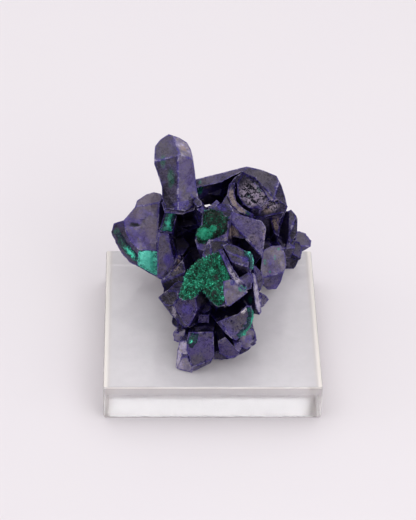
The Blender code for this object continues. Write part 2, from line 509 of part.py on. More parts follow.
crust("malachite_front_crust", [
    (apron, [(-0.4, 0.4), (-2.3, -0.3), (-4.2, -2.3), (-5.0, -3.8), (-6.1, -7.1), (-6.3, -8.6), (-5.3, -9.1),
             (-2.7, -8.3), (-1.7, -6.3), (1.2, -4.0), (1.8, 0.4)], 0.8),
    (breast, [(2.3, 1.9), (-0.9, 0.4), (-1.4, -5.3), (-0.4, -7.6), (0.6, -9.0), (2.1, -10.3), (3.2, -9.3),
              (3.5, -7.1), (3.2, -5.0), (4.9, -3.9), (3.9, -1.2)], 0.8)])
crust("malachite_centre_crust", [
    (eaten_face, [(-0.6, 11.4), (1.2, 12.0), (3.3, 11.0), (4.6, 9.8), (4.6, 8.0), (3.7, 6.4), (1.4, 5.4),
                  (-0.4, 5.4), (-0.8, 8.9)], 0.7),
    (eaten_face, [(-2.3, 6.4), (-1.2, 7.7), (0.2, 8.0), (0.6, 6.2), (-0.5, 4.5), (-1.9, 4.3)], 1.7)])
crust("malachite_left_foot", [
    (left_foot, [(-16.7, 2.0), (-16.7, -1.1), (-14.4, -2.6), (-12.6, -3.6), (-12.6, 1.5), (-13.9, 2.2)], 0.9)])
crust("malachite_left_edge", [
    (left_bevel, [(-21.9, 6.0), (-20.7, 3.4), (-19.2, 1.6), (-17.4, 0.1), (-17.0, 1.0), (-18.6, 2.5),
                  (-19.9, 4.2), (-21.2, 6.4)], 0.7)])
crust("malachite_left_notch", [
    (notch_knob, [(-9.6, 11.2), (-10.2, 8.1), (-11.0, 7.0), (-8.5, 6.8), (-8.5, 9.1), (-7.8, 10.9)], 0.7)])
crust("malachite_right_rim", [
    (cheek_edge, [(9.7, -11.4), (9.8, -13.1), (9.2, -14.8), (8.2, -16.1), (7.3, -17.3), (7.6, -18.0),
                  (8.9, -16.9), (10.0, -15.4), (10.6, -13.5), (10.5, -11.4)], 0.7)])
crust("malachite_lower_spot", [
    (front_foot, [(-4.3, -18.1), (-3.9, -17.4), (-2.8, -17.6), (-3.0, -18.8), (-3.7, -19.7), (-4.4, -19.6)], 0.55)])
crust("malachite_ridge_seam", [
    (shoulder_edge, [(9.4, 2.3), (9.7, 0.8), (10.0, -0.6), (9.8, -2.2), (10.4, -2.0), (10.7, -0.5),
                     (10.4, 0.9), (10.0, 2.2)], 0.6)])
crust("malachite_back_crust", [
    (back_faces[2], hexagon(-1.2, -10.8, 5.5, 6.5, 34), 0.75)])
display_base()
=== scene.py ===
import math
import random

import bmesh
import bpy
import numpy as np
from mathutils import Matrix, Vector, noise
from mathutils.bvhtree import BVHTree
from mathutils.kdtree import KDTree


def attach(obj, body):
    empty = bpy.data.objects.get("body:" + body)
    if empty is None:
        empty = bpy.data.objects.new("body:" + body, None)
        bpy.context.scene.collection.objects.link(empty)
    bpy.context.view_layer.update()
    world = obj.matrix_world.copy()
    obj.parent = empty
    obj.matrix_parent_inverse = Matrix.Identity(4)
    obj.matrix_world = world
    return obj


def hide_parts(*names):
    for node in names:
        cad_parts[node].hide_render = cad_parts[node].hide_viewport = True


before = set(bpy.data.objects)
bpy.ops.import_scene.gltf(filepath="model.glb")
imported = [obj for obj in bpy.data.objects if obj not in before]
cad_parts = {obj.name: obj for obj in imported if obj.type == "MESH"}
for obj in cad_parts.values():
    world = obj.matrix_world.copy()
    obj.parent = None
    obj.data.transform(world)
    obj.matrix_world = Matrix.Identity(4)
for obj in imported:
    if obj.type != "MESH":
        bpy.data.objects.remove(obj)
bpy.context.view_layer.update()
bpy.ops.object.select_all(action="DESELECT")


# The table and the light
#
# The specimen stands on a pale table inside a white tent, so soft light reaches it from all round. A wide panel
# overhead, one low on each side and one at the front right are brighter, and the faces that mirror them shine.

MM = 0.001
TABLE_PALE = (0.785, 0.742, 0.775)
TABLE_CLOUD = (0.79, 0.75, 0.77)
TENT_WHITE = (1.0, 0.975, 1.0)
TENT_GLOW = 0.34


class Socket:
    """One output of a material's nodes. A sum written with it adds the Math nodes that work it out."""

    def __init__(self, paint, out):
        self.paint, self.out = paint, out

    def math(self, operation, *values):
        return self.paint.node("Math", {"operation": operation}, dict(enumerate(values)))

    def __add__(self, other):
        return self.math("ADD", self, other)

    def __sub__(self, other):
        return self.math("SUBTRACT", self, other)

    def __mul__(self, other):
        return self.math("MULTIPLY", self, other)

    def either(self, other):
        return self.math("MAXIMUM", self, other)

    def lesser(self, other):
        return self.math("MINIMUM", self, other)

    __radd__ = __add__


class Paint:
    """A material that is worked out from where a point lies on the specimen, in millimetres."""

    def __init__(self, name, **evenly):
        self.made = bpy.data.materials.new(name)
        self.made.use_nodes = True
        self.tree = self.made.node_tree
        self.shader = self.tree.nodes["Principled BSDF"]
        for socket, value in evenly.items():
            self.set(socket.replace("_", " "), value)
        per_mm = (1.0 / MM,) * 3
        self.place = self.vector("MULTIPLY", self.node("TexCoord", out="Object"), per_mm)

    def node(self, kind, settings=None, sockets=None, out=0):
        """Adds a node of one kind, with its settings and what goes into its sockets, and hands back an output."""
        made = self.tree.nodes.new("ShaderNode" + kind)
        for name, value in (settings or {}).items():
            if name == "stops":
                elements = made.color_ramp.elements
                for _ in value[2:]:
                    elements.new(1.0)
                for element, (position, shade) in zip(elements, value):
                    element.position, element.color = position, (*shade, 1.0)
            else:
                setattr(made, name, value)
        for name, value in (sockets or {}).items():
            self.feed(made.inputs[name], value)
        return Socket(self, made.outputs[out])

    def feed(self, socket, value):
        if isinstance(value, Socket):
            self.tree.links.new(value.out, socket)
        elif socket.type == "RGBA":
            socket.default_value = (*value, 1.0)
        else:
            socket.default_value = value

    def set(self, socket, value):
        self.feed(self.shader.inputs[socket], value)

    def vector(self, operation, *values, out=0):
        return self.node("VectorMath", {"operation": operation}, dict(enumerate(values)), out)

    def grain(self, per_mm, detail, rough=0.55, stretch=None):
        """Noise, from 0 to 1, with this many lumps to a millimetre."""
        place = self.vector("MULTIPLY", self.place, stretch) if stretch else self.place
        return self.node("TexNoise", {}, {"Vector": place, "Scale": per_mm, "Detail": detail, "Roughness": rough})

    def between(self, value, low, high):
        """0 where a value is at low, 1 where it is at high, and smooth between them."""
        return self.node("MapRange", {"interpolation_type": "SMOOTHSTEP"},
                         {"Value": value, "From Min": low, "From Max": high})

    def mix(self, share, first, second):
        return self.node("Mix", {"data_type": "RGBA"}, {0: share, 6: first, 7: second}, out=2)

    def note(self, name):
        """A number that the piece keeps for every corner of its mesh."""
        return self.node("Attribute", {"attribute_name": name}, out="Fac")

    def patches(self, where, fade=0.35):
        """1 inside any of these places, each a middle and its reach in millimetres, with a ragged edge."""
        nearest = None
        for middle, reach in where:
            reach = reach if isinstance(reach, tuple) else (reach, reach, reach)
            away = self.vector("DIVIDE", self.vector("SUBTRACT", self.place, middle), reach)
            away = self.vector("LENGTH", away, out="Value")
            nearest = nearest.lesser(away) if nearest else away
        ragged = (self.grain(0.9, 5.0, 0.65) - 0.5) * 1.1
        return self.between(nearest + ragged, 1.0 + fade, 1.0 - fade)

    def shingled(self, per_mm):
        """A height that slopes its own way in each cell, as on a face that grew in many low steps."""
        sockets = {"Vector": self.place, "Scale": per_mm}
        middle = self.node("TexVoronoi", {}, sockets, out="Position")
        lean = self.vector("SUBTRACT", self.node("TexVoronoi", {}, sockets, out="Color"), (0.5, 0.5, 0.5))
        return self.vector("DOT_PRODUCT", self.vector("SUBTRACT", self.place, middle), lean, out="Value")

    def bump(self, height, depth_mm, strength, under=None):
        """The slant that a height gives to the surface, on top of another one if that is named."""
        sockets = {"Strength": strength, "Distance": depth_mm * MM, "Height": height}
        if under:
            sockets["Normal"] = under
        return self.node("Bump", {}, sockets)

    def layer(self, share, shader):
        """Lays another shader over all that is there, with this share of it showing."""
        surface = self.tree.nodes["Material Output"].inputs["Surface"]
        under = Socket(self, surface.links[0].from_socket)
        self.feed(surface, self.node("MixShader", {}, {0: share, 1: under, 2: shader}))

    def wear(self, piece):
        """Gives a piece this paint and no other."""
        piece.data.materials.clear()
        piece.data.materials.append(self.made)


# The tabletop lies a tenth of a millimetre under the square, so that the two faces never meet.
bpy.ops.mesh.primitive_plane_add(size=4.0, location=(0, 0, -0.1 * MM))
table = bpy.context.object
table.name = "table"
tabletop = Paint("pale_table", Roughness=0.75)
cloudy = tabletop.between(tabletop.grain(0.02, 2.0), 0.3, 0.7) * 0.35
tabletop.set("Base Color", tabletop.mix(cloudy, TABLE_PALE, TABLE_CLOUD))
tabletop.wear(table)

tent = bpy.data.worlds.new("white_tent")
tent.use_nodes = True
cloth = tent.node_tree.nodes["Background"].inputs
cloth["Color"].default_value = (*TENT_WHITE, 1.0)
cloth["Strength"].default_value = TENT_GLOW
bpy.context.scene.world = tent


def panel(name, place, aim, size, watts):
    """A soft square panel that shines from its place at a point. Its lengths are in metres."""
    bpy.ops.object.light_add(type="AREA", location=place)
    made = bpy.context.object
    made.name = name
    made.data.size = size
    made.data.energy = watts
    made.rotation_euler = (Vector(aim) - Vector(place)).to_track_quat("-Z", "Y").to_euler()


panel("overhead_panel", (0.0, 0.20, 0.70), (0.0, 0.20, 0.0), 1.5, 7.75)
panel("left_panel", (-0.60, 0.04, 0.17), (0.0, 0.0, 0.03), 0.42, 0.62)
panel("right_panel", (0.58, -0.16, 0.19), (0.0, 0.0, 0.03), 0.36, 0.40)
panel("front_right_panel", (0.29, -0.43, 0.34), (0.0, 0.0, 0.02), 0.34, 0.70)

# The camera is 560 mm away and looks down at 38.6 degrees. Its place, its three axes and its lens in millimetres
# were worked out from the corners of the square.
EYE = (-0.015, -0.4245, 0.3659)
LENS, SENSOR = 160.13, 36.0
RIGHTWARD = Vector((0.99966678, -0.01926151, 0.01718515))
UPWARD = Vector((-0.00140638, 0.62411466, 0.7813315))
FORWARD = Vector((0.02577512, 0.78109532, -0.6238796))
bpy.ops.object.camera_add()
camera = bpy.context.object
camera.data.lens = LENS
camera.data.sensor_width = SENSOR
camera.data.clip_start = 0.01
turned = Matrix((RIGHTWARD, UPWARD, -FORWARD)).transposed().to_4x4()
camera.matrix_world = Matrix.Translation(EYE) @ turned
bpy.context.scene.camera = camera
bpy.context.scene.view_settings.view_transform = "Standard"


# The display square
#
# Clear cast acrylic, sawn to size. Handling and dust have dulled its polished top, and cream strips along the edges
# of its top and front are a painted glow, lighter than the clear block shows them. Its left and right sides kept the
# saw's haze, and the front is nearly clear between cream edges.

# Where the block's upright faces and its top begin, in millimetres out from its middle and up from the table.
UPRIGHT = (25.2, 25.38)
TOP = (9.35, 9.48)
ACRYLIC_IOR = 1.49

acrylic = Paint("clear_acrylic", IOR=ACRYLIC_IOR, Transmission_Weight=1.0)
x, y, z = (acrylic.node("SeparateXYZ", {}, {0: acrylic.place}, out=axis) for axis in "XYZ")
side_face = acrylic.between(x.math("ABSOLUTE", x), *UPRIGHT)
front_face = acrylic.between(y.math("ABSOLUTE", y), *UPRIGHT)
top_face = acrylic.between(z, *TOP)
haze = acrylic.grain(0.35, 5.0, 0.6)
chalky = acrylic.between(acrylic.grain(0.8, 4.0, 0.7), 0.40, 0.62)

# The painted glow: cream strips along the left and the right of the top and the front, and one along the front's
# upper edge, lighter than the clear block shows them.
strips = acrylic.between(x.math("ABSOLUTE", x), 23.3, 24.9)
rim = (strips * top_face * 0.9).either(acrylic.between(z, 8.7, 9.3) * front_face * 0.8)
rim = rim.either(front_face * acrylic.between(z, 5.0, 8.0).either(strips) * 0.35)
cream = front_face * acrylic.between(z, 5.5, 9.0).either(strips) * chalky

acrylic.set("Base Color", acrylic.mix(cream, (0.995, 0.985, 1.0), (1.0, 0.95, 0.88)))
acrylic.set("Roughness", acrylic.between(haze, 0.45, 0.70) * 0.03 + 0.01 + front_face * 0.12 + side_face * 0.25)
saw_marks = acrylic.grain(3.0, 3.0, 0.6, stretch=(1.0, 1.0, 0.08))
frosted = acrylic.node("BsdfPrincipled", {}, {
    "Base Color": acrylic.mix(side_face, (1.0, 0.97, 0.93), (1.0, 0.87, 0.76)), "Roughness": 0.55,
    "IOR": ACRYLIC_IOR, "Transmission Weight": 0.95, "Normal": acrylic.bump(saw_marks, 0.05, 0.6)})
acrylic.layer(side_face * (0.35 + haze * 0.4) + front_face * (0.02 + haze * 0.06), frosted)
# The dusty layer dulls the top, and on the strips it carries the painted glow in cream.
dusty = acrylic.node("BsdfPrincipled", {}, {
    "Base Color": acrylic.mix(rim, (0.98, 0.96, 0.99), (1.0, 0.94, 0.87)), "Roughness": 0.6, "IOR": 1.3})
acrylic.layer((top_face * (haze * 0.08 + 0.37)).either(rim * 0.8), dusty)
acrylic.wear(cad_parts["acrylic_base"])


# The azurite crystals
#
# Blocky, dark blue crystals that grew together. Their faces are glassy under a fine mottle, so they mirror the white
# room as a grey violet. Deep blue in a few spots and along edges is a painted glow of light through the crystal,
# pale lilac and white spots are painted highlights, and the hollows are painted black as painted shade.

# The black of the painted shade in the hollows.
PAINTED_SHADE_BLACK = (0.0012, 0.0006, 0.007)
# The deep blue of a painted glow along edges and in a few spots.
PAINTED_EDGE_GLOW = (0.022, 0.008, 0.22)
DEEP_BLUE = (0.006, 0.003, 0.10)
# The pale lilac of painted highlights on edges.
PAINTED_EDGE_HIGHLIGHT = (0.34, 0.31, 0.40)
PIT_DARK = (0.003, 0.008, 0.012)

# How far two faces turn for the edge between them to be a ridge or a crease, and the step along it in millimetres.
SHARP = math.radians(14.0)
SEAM_STEP = 0.2

# How many rays look out from a point to see how far the crystals wall it in.
RAYS = 36

# How long an edge of the cluster's mesh may be, in millimetres: in front, behind, and where the eye hardly comes.
IN_FRONT, BEHIND, HIDDEN = 0.48, 0.64, 1.1

# The shades of a face, from nearly black to pale lilac.
SHADES = [(0.0, (0.0028, 0.0020, 0.0065)), (0.28, (0.011, 0.008, 0.024)), (0.48, (0.031, 0.023, 0.068)),
          (0.66, (0.082, 0.067, 0.125)), (0.84, (0.205, 0.178, 0.25)), (1.0, (0.50, 0.45, 0.57))]

# How pale the large faces are on that scale: a place on each face, and its tone. Each tone follows how pale the face
# shows under the light, so it holds painted light and shade as well as the face's own tone.
FACE_TONES_WITH_PAINTED_LIGHT = [
    # the left plate, its bevel and the slab inside it
    ((-15.8, 15.5, 26.7), 0.67), ((-15.3, 19.4, 29.8), 0.66), ((-23.1, 16.0, 23.0), 0.40),
    ((-11.5, 9.2, 25.6), 0.62), ((-9.2, 0.6, 20.3), 0.22), ((-9.4, 10.0, 26.1), 0.25),
    # the spire, the bar and the crystals at the back
    ((-11.6, 20.4, 44.5), 0.46), ((-8.0, 21.3, 45.3), 0.85), ((-8.5, 16.9, 43.6), 0.32), ((-6.1, 16.7, 42.2), 0.62),
    ((2.7, 24.4, 33.9), 0.38), ((14.7, 20.0, 33.0), 0.34), ((15.4, 16.0, 28.9), 0.30), ((17.8, 19.5, 25.2), 0.15),
    # the middle crystal and the group at the right
    ((8.8, 4.6, 33.7), 0.66), ((4.6, 5.5, 36.0), 0.66), ((9.2, 4.1, 27.5), 0.60), ((6.2, 5.6, 26.9), 0.25),
    ((14.3, 10.3, 18.0), 0.74), ((21.3, 22.8, 20.6), 0.18), ((22.9, 20.7, 15.0), 0.46), ((19.7, 18.1, 11.8), 0.22),
    # the front rosette: wing, belly, knob, shoulder, ridge, bright face, cheek, blade and ear
    ((-10.4, -10.4, 22.2), 0.24), ((-6.1, -14.0, 23.5), 0.50), ((0.6, -5.1, 35.1), 0.14), ((4.3, -5.9, 35.7), 0.36),
    ((7.9, -9.5, 32.7), 0.42), ((3.3, -11.5, 33.7), 0.44), ((4.2, -15.1, 29.6), 0.74), ((7.5, -10.7, 30.1), 0.56),
    ((9.9, -9.8, 28.1), 0.96), ((9.9, -5.7, 27.2), 0.46),
    # the lower front: cheek, chin, tooth, heel, foot and the knobs beside it
    ((6.1, -16.8, 23.2), 0.58), ((2.7, -18.4, 20.9), 0.40), ((5.4, -18.3, 14.7), 0.60), ((5.3, -18.3, 16.3), 0.80),
    ((8.6, -15.6, 18.5), 0.74), ((-3.0, -18.9, 15.2), 0.60), ((-7.6, -17.0, 13.6), 0.98),
    ((-6.9, -19.7, 11.0), 0.86), ((-8.1, -13.8, 16.0), 0.78), ((-9.2, -9.6, 16.5), 0.20),
    ((-2.3, -12.9, 19.9), 0.45)]

# The broken face that is etched, as places with their reach in millimetres.
ETCHED = [((9.2, 17.2, 34.0), 2.4), ((11.2, 17.3, 33.6), 2.2), ((10.0, 16.9, 32.0), 2.0), ((12.4, 16.8, 31.6), 1.8),
          ((14.8, 16.9, 30.6), 1.5)]

# The patches of other shades: the colour, its share, and where each lies with its reach in millimetres.
PATCHES = [
    # violet, where a face is clean
    ((0.040, 0.021, 0.130), 0.75, [
        ((-5.8, 16.0, 41.2), (2.0, 3.0, 3.6)), ((8.8, 4.6, 33.7), 2.8), ((10.7, 2.2, 31.1), 2.2),
        ((-3.0, -18.9, 15.2), 3.2), ((5.4, -18.3, 14.7), 2.6), ((2.8, -18.2, 14.7), 2.0), ((-6.2, -14.0, 22.8), 3.0),
        ((-14.8, 12.6, 24.2), 2.2), ((-2.3, -12.9, 19.9), 1.6), ((10.2, -3.4, 27.2), 2.2)]),
    # rosy grey
    ((0.125, 0.095, 0.118), 0.70, [
        ((-14.6, 19.2, 29.9), 2.6), ((-13.4, 13.4, 25.3), 2.2), ((-17.6, 17.0, 27.6), 1.6), ((9.3, 2.1, 31.2), 1.4),
        ((-8.0, 1.4, 21.6), 1.4), ((3.3, -16.4, 28.2), 1.2), ((6.4, -16.6, 23.6), 1.2)]),
    # olive brown
    ((0.042, 0.037, 0.036), 0.85, [
        ((5.0, -6.2, 35.3), (2.8, 2.6, 2.0)), ((-10.4, -10.4, 22.2), 2.2), ((-9.2, 0.6, 20.3), 3.0),
        ((5.4, -17.1, 23.0), 2.4), ((-11.4, 20.0, 44.3), 2.4), ((0.2, -5.4, 35.0), 1.4), ((12.6, 22.6, 35.2), 2.2),
        ((-3.6, -20.0, 13.0), 1.6), ((21.0, 21.0, 17.0), 2.6)]),
    # pale lilac painted highlights, along the edges that catch the light
    ((0.46, 0.41, 0.52), 0.9, [
        ((3.6, -11.9, 33.3), (0.5, 1.0, 0.9)), ((4.4, -12.7, 32.3), (0.5, 0.9, 0.8)),
        ((5.3, -13.4, 31.6), (1.0, 0.9, 0.7)), ((-9.0, -11.3, 20.6), (0.5, 2.2, 2.2)), ((7.0, -15.7, 24.9), 0.6),
        ((-2.2, -11.2, 23.6), (0.8, 0.7, 0.25)), ((-0.6, -11.0, 22.6), (0.7, 0.7, 0.25)),
        ((10.2, -13.0, 22.4), (0.6, 0.8, 1.6))]),
    # a white painted glint on one corner
    ((0.82, 0.76, 0.77), 1.0, [((6.9, -15.6, 24.8), (0.75, 0.8, 1.0))]),
    # tan, where the surface is weathered
    ((0.32, 0.240, 0.205), 0.90, [
        ((4.6, 17.6, 32.4), 1.4), ((5.4, 16.3, 31.3), 1.3), ((7.4, 14.5, 30.3), 1.2), ((13.7, 16.7, 29.5), 1.2),
        ((-6.8, 20.4, 44.4), 0.8), ((15.8, 17.1, 24.6), 1.4), ((17.5, 14.0, 21.0), 1.0), ((-8.4, 3.2, 21.9), 0.8),
        ((-7.5, 5.8, 22.8), (0.7, 1.6, 1.6)), ((4.6, 3.6, 32.2), 1.4), ((3.4, 0.9, 33.3), 0.8),
        ((8.4, 1.6, 31.4), 0.6), ((12.6, 2.6, 31.8), (0.7, 2.0, 2.0))]),
    # pink grey, on the broken face that is etched
    ((0.44, 0.36, 0.47), 0.90, ETCHED),
    # dark green, where malachite has stained it
    ((0.007, 0.095, 0.055), 0.95, [
        ((-9.7, 14.6, 40.0), (0.8, 1.8, 2.6)), ((-11.6, 17.2, 43.0), (0.6, 1.2, 1.8)), ((11.6, 17.3, 34.9), 0.8),
        ((6.6, 17.3, 31.2), 0.8), ((8.8, 13.9, 30.4), 0.7), ((-22.6, 15.6, 22.9), 0.9), ((-21.4, 14.0, 21.4), 1.0),
        ((-11.3, 10.3, 28.4), 1.0), ((22.6, 21.0, 12.8), 1.0), ((4.4, -13.7, 31.4), 0.5),
        ((12.6, 16.6, 31.4), 0.7)]),
    # brighter green specks
    ((0.025, 0.27, 0.18), 0.95, [
        ((13.1, 10.1, 18.3), (0.4, 0.5, 0.7)), ((15.5, 11.1, 18.8), (0.3, 0.5, 0.7)), ((14.3, 8.9, 16.1), 0.3),
        ((16.4, 12.4, 20.4), 0.4), ((6.3, -14.4, 30.1), 0.7), ((7.6, -14.2, 29.7), 0.8), ((8.6, -11.2, 24.0), 0.8),
        ((-2.6, 22.9, 30.6), (0.7, 1.0, 2.0)), ((9.6, -1.4, 31.6), 0.5), ((9.0, 17.0, 33.0), 0.35)]),
    # blue painted glow, where light comes back out of the crystal
    ((0.042, 0.020, 0.34), 0.60, [
        ((-10.6, 6.5, 21.9), (0.9, 1.0, 1.4)), ((-7.6, 10.9, 34.6), (1.6, 1.6, 1.0)), ((-6.0, 11.5, 34.8), 0.8),
        ((-6.1, -14.0, 23.5), 1.3), ((7.5, -8.6, 34.0), 0.9), ((1.9, -9.8, 35.2), (0.5, 1.2, 0.8)),
        ((2.4, -10.2, 34.6), (1.0, 1.5, 1.0)), ((3.0, -12.0, 32.9), (0.5, 1.2, 0.9)), ((0.8, 0.4, 32.3), 1.0),
        ((4.3, -13.7, 31.2), (0.6, 0.9, 0.7)), ((2.7, 1.2, 33.4), (1.6, 0.8, 0.6)), ((-2.9, 0.0, 31.0), 0.9),
        ((2.2, 7.1, 36.8), 1.0), ((3.5, -18.9, 12.4), (3.4, 1.4, 0.8)), ((8.2, -16.3, 16.4), 0.9),
        ((14.4, 9.9, 17.9), 0.5), ((-2.9, 8.8, 35.5), 0.9)])]

# The hollows painted black as painted shade, as places with their reach in millimetres.
PAINTED_SHADE_SPOTS = [
    ((8.4, -12.4, 28.8), (0.6, 1.4, 1.2)), ((7.0, -13.6, 30.3), (0.4, 0.8, 0.5)), ((-10.3, -0.1, 18.6), 1.6),
    ((6.4, -10.4, 31.5), (2.0, 1.2, 1.4)), ((2.9, -8.6, 35.0), (0.6, 2.0, 0.8)), ((6.4, 5.4, 26.6), 3.2),
    ((1.6, 23.8, 29.4), 2.8), ((4.0, 1.7, 30.6), 1.0), ((15.0, 17.6, 20.0), 2.4), ((18.2, 19.4, 21.0), 2.4),
    ((-5.6, 14.4, 23.0), 6.0), ((-4.3, 9.0, 18.3), 4.0), ((0.6, 23.8, 26.4), 3.2), ((4.9, 25.0, 29.6), 2.2),
    ((10.9, 16.1, 27.6), (2.6, 1.0, 0.9)), ((-9.4, -9.1, 16.4), 1.4), ((6.0, 18.7, 31.8), 0.6),
    ((-0.4, -12.0, 17.8), 1.6)]


def only(piece):
    """Selects one piece, and nothing else, to work on."""
    bpy.ops.object.select_all(action="DESELECT")
    piece.select_set(True)
    bpy.context.view_layer.objects.active = piece


def copied(node, name):
    """A new piece with a solid's own shape, its loose triangles merged into whole flat faces."""
    made = bpy.data.objects.new(name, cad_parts[node].data.copy())
    bpy.context.scene.collection.objects.link(made)
    only(made)
    bpy.ops.mesh.customdata_custom_splitnormals_clear()
    bpy.ops.object.mode_set(mode="EDIT")
    bpy.ops.mesh.select_all(action="SELECT")
    bpy.ops.mesh.remove_doubles(threshold=0.001 * MM)
    bpy.ops.mesh.dissolve_limited(angle_limit=math.radians(0.5))
    bpy.ops.mesh.quads_convert_to_tris(quad_method="BEAUTY", ngon_method="BEAUTY")
    bpy.ops.object.mode_set(mode="OBJECT")
    return made


def divided(piece, finest, coarse=None):
    """Splits the longest edges first, over and over, until none is much longer than the finest length in
    millimetres, or than the coarser one that holds at its place."""
    only(piece)
    bpy.context.tool_settings.mesh_select_mode = (False, True, False)
    length, shrink = 6.0, 0.78
    while length > finest * 0.99:
        bpy.ops.object.mode_set(mode="EDIT")
        bpy.ops.mesh.select_all(action="DESELECT")
        bpy.ops.object.mode_set(mode="OBJECT")
        mesh = piece.data
        points = np.zeros(len(mesh.vertices) * 3)
        mesh.vertices.foreach_get("co", points)
        points = points.reshape(-1, 3) / MM
        ends = np.zeros(len(mesh.edges) * 2, dtype=np.int64)
        mesh.edges.foreach_get("vertices", ends)
        first, second = points[ends[0::2]], points[ends[1::2]]
        wanted = coarse((first + second) / 2) if coarse else 0.0
        long = np.linalg.norm(first - second, axis=1) > np.maximum(length, wanted)
        mesh.edges.foreach_set("select", long)
        bpy.ops.object.mode_set(mode="EDIT")
        bpy.ops.mesh.subdivide(number_cuts=1, quadcorner="INNERVERT")
        bpy.ops.mesh.select_all(action="SELECT")
        bpy.ops.mesh.quads_convert_to_tris(quad_method="BEAUTY", ngon_method="BEAUTY")
        bpy.ops.object.mode_set(mode="OBJECT")
        length *= shrink


def opened(piece):
    """A piece's mesh, open to read its edges and to move its corners."""
    bm = bmesh.new()
    bm.from_mesh(piece.data)
    bm.normal_update()
    return bm


def closed(piece, bm, targets):
    """Moves every corner of an opened mesh to its target, and puts the mesh back into its piece."""
    for v, target in zip(bm.verts, targets):
        v.co = target
    bm.to_mesh(piece.data)
    bm.free()


def seams(piece):
    """The sharp ridges and the creases of a solid, each as points a fifth of a millimetre apart."""
    bm = opened(piece)
    ridges, creases = [], []
    for e in bm.edges:
        angle = e.calc_face_angle_signed(0.0)
        if abs(angle) > SHARP:
            a, b = e.verts
            steps = math.ceil(e.calc_length() / (SEAM_STEP * MM))
            for step in range(steps + 1):
                point = a.co.lerp(b.co, step / steps)
                (ridges if angle > 0 else creases).append((point, (a.normal + b.normal).normalized(), angle))
    bm.free()
    return ridges, creases


def closeness(points, seam, reach):
    """For each point, 1 on the seam and 0 where it is farther off than reach."""
    tree = KDTree(len(seam))
    for number, (point, _, _) in enumerate(seam):
        tree.insert(point, number)
    tree.balance()
    return [max(1.0 - tree.find(point)[2] / (reach * MM), 0.0) for point in points]


def walled_in(places, solid, reach):
    """How much of the view out from each place, a point and its normal, the crystals around it take away."""
    bm = opened(solid)
    walls = BVHTree.FromBMesh(bm)
    bm.free()
    turn = math.pi * (3.0 - math.sqrt(5.0))
    heights = [1.0 - 2.0 * (k + 0.5) / RAYS for k in range(RAYS)]
    rays = [Vector((math.cos(turn * k) * math.sqrt(1 - h * h), math.sin(turn * k) * math.sqrt(1 - h * h), h))
            for k, h in enumerate(heights)]
    found = []
    for point, normal in places:
        start = point + normal * 0.06 * MM
        seen = [(ray, ray.dot(normal)) for ray in rays if ray.dot(normal) > 0.1]
        shut = sum(share for ray, share in seen if walls.ray_cast(start, ray, reach * MM)[0])
        found.append(shut / sum(share for _, share in seen))
    return found


def drift(p):
    """A smooth push to one side. noise.noise_vector would do, but its answer is not the same in every run."""
    return Vector([noise.noise(p + Vector(apart)) for apart in ((9.3, -1.5, -8.0), (0, 0, 0), (6.3, 0.2, -2.7))])


def weathered(piece, chip, swell, etched, dents):
    """Chips the sharp edges, makes the faces uneven, etches and dents them. An etched place is its middle, its reach
    and how wide and how deep its pits are, and a dent is its middle, its reach along each axis and its depth, all in
    millimetres. Returns how far each corner lies in a pit, from 0 to 1."""
    bm = opened(piece)
    targets, pits = [], []
    for v in bm.verts:
        p = v.co / MM
        angles = [e.calc_face_angle_signed(0.0) for e in v.link_edges]
        ridge = min(max(max(angles), 0.0) / 0.9, 1.0)
        worn = 2.2 * max(noise.noise(p * 1.3) - 0.12, 0.0) + 0.4 * abs(noise.noise(p * 2.6))
        depth = chip * ridge * worn + swell * (0.5 + noise.noise(p * 0.33 + Vector((7.1, 0.0, 3.3))))
        pit = 0.0
        for middle, reach, size, deep in etched:
            share = 1.0 - ((p - middle).length / reach) ** 4
            if share > 0.0:
                bent = p / size + 0.5 * drift(p * 0.9)
                near = max(0.0, 1.0 - noise.voronoi(bent)[0][0] / 0.5) * min(share * 2.0, 1.0)
                near *= min(max(0.55 + 1.8 * noise.noise(p * 0.8), 0.1), 1.0)
                depth += deep * near
                pit = max(pit, min(near * 1.8, 1.0))
        for middle, reach, deep in dents:
            away = Vector([(a - b) / c for a, b, c in zip(p, middle, reach)]).length + 0.3 * noise.noise(p * 1.4)
            if away < 1.0:
                depth += deep * (1.0 - away)
                pit = max(pit, min(1.2 - 1.2 * away, 0.6))
        pits.append(pit)
        targets.append(v.co - v.normal * depth * MM)
    closed(piece, bm, targets)
    return pits


def noted(piece, name, values):
    """Keeps a number for every corner of a piece's mesh, for its paint to read."""
    piece.data.attributes.new(name, "FLOAT", "POINT").data.foreach_set("value", values)


def toned(piece):
    """Gives each face of the cluster its tone, by chance where the list doesn't name it. A named tone, which holds
    painted light and shade, goes to all that lies flush with its place, up to 9 mm off."""
    mesh = piece.data
    tones = [0.42 + 0.45 * noise.noise(f.normal * 2.4 + f.center / MM * 0.12) for f in mesh.polygons]
    walls = BVHTree.FromPolygons([v.co for v in mesh.vertices], [list(f.vertices) for f in mesh.polygons])
    for place, tone in FACE_TONES_WITH_PAINTED_LIGHT:
        on, normal, _, _ = walls.find_nearest(Vector(place) * MM)
        for f in mesh.polygons:
            off = f.center - on
            if f.normal.dot(normal) > 0.985 and abs(off.dot(normal)) < 0.5 * MM and off.length < 9.0 * MM:
                tones[f.index] = tone
    mesh.attributes.new("tone", "FLOAT", "FACE").data.foreach_set("value", tones)


def coarser_behind(middles):
    """The back and the underside of the cluster need fewer faces than the side that the eye meets."""
    back, height = middles[:, 1], middles[:, 2]
    hidden = (height < 12.0) | (back > 21.0) & (height < 28.0)
    return np.where(hidden, HIDDEN, np.where(back > 12.0, BEHIND, 0.0))


